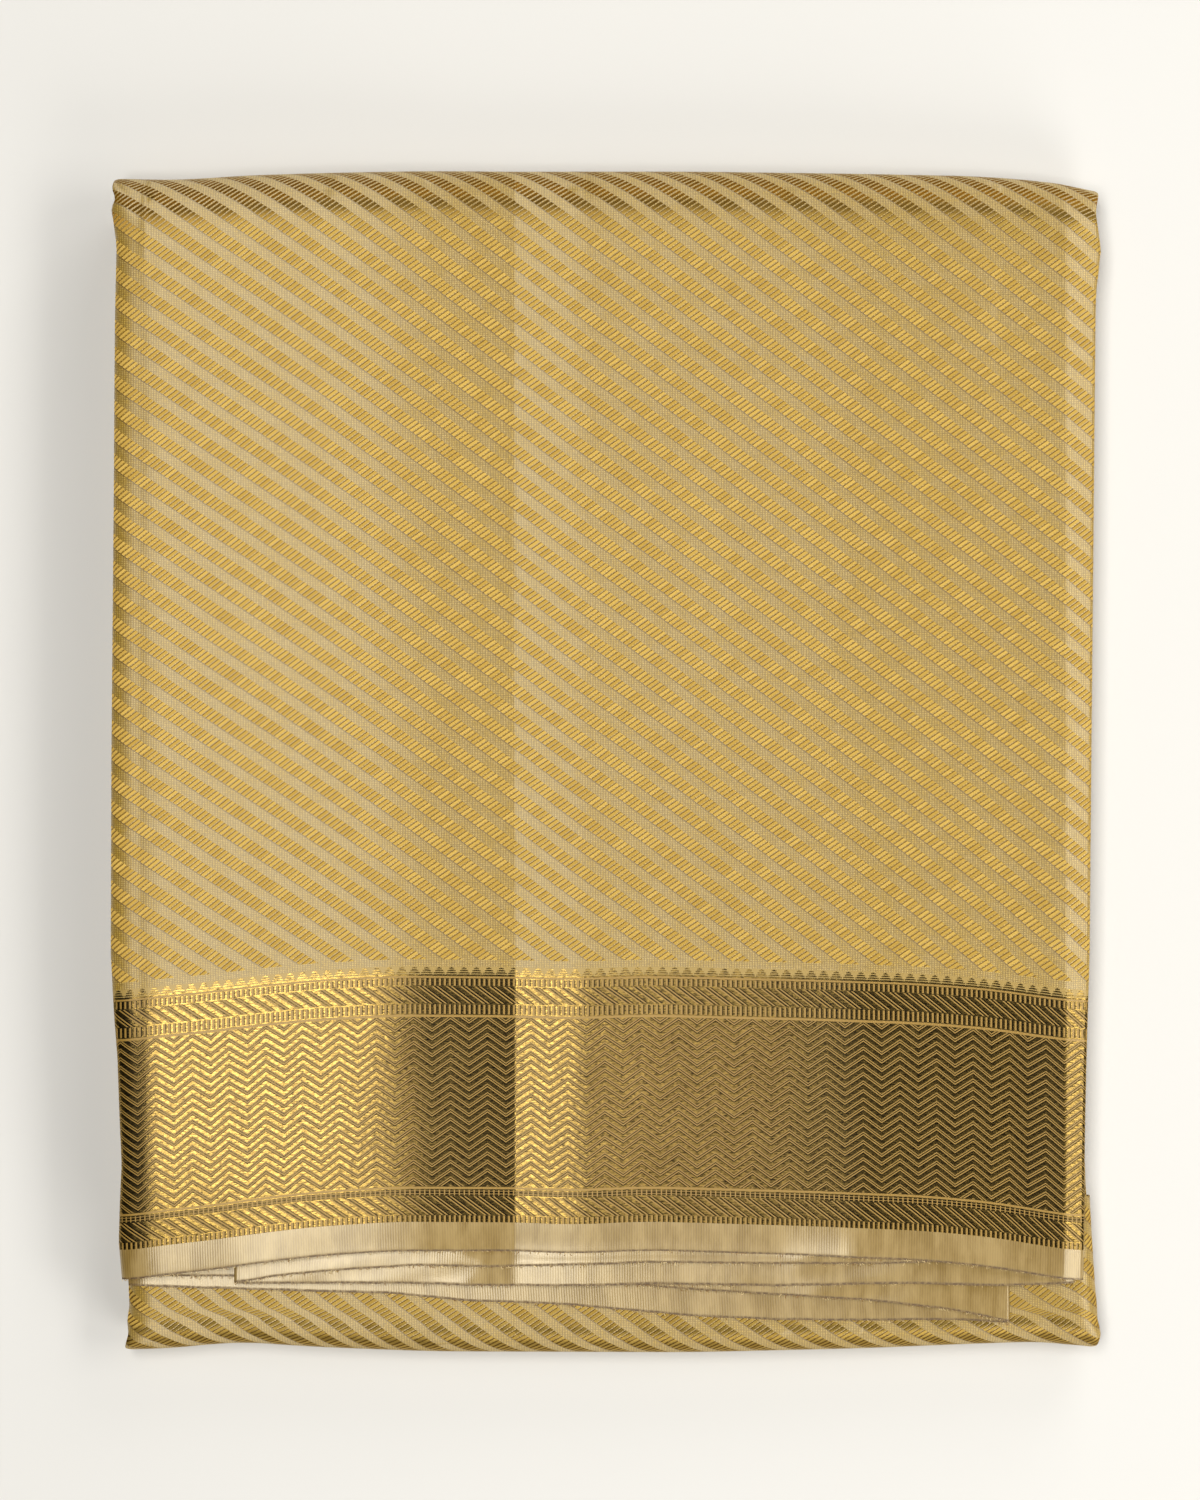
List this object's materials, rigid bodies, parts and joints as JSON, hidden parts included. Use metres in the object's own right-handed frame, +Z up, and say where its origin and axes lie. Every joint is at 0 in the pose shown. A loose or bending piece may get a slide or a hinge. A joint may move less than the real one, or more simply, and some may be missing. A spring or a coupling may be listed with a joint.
{
  "type": "dhoti cloth",
  "caption": "Folded silk dhoti cloth with diagonal gold stripes, a woven gold border with chevrons and a plain cream selvedge, lying flat.",
  "frame": {"origin": "bottom centre of the folded packet, on the surface it lies on", "axes": "+Z up, away from the surface; +Y towards the top fold, away from the open lip and its border; +X to the right, along the border"},
  "size_m": [0.3396, 0.409, 0.0279],
  "materials": {
    "striped_silk": "cream silk with diagonal bands of short gold dashes, soft sheen",
    "zari_band": "woven metallic gold thread, glossy, brightness changes with the tilt of the cloth",
    "selvedge_silk": "plain cream silk, soft sheen, slightly frayed edge"
  },
  "bodies": {
    "root": {"body_cloth": "striped_silk", "zari_border": "zari_band", "selvedge_strip": "selvedge_silk", "inner_leaf": "selvedge_silk", "lower_leaf": "selvedge_silk", "folded_bundle": "striped_silk"}
  },
  "joints": []
}
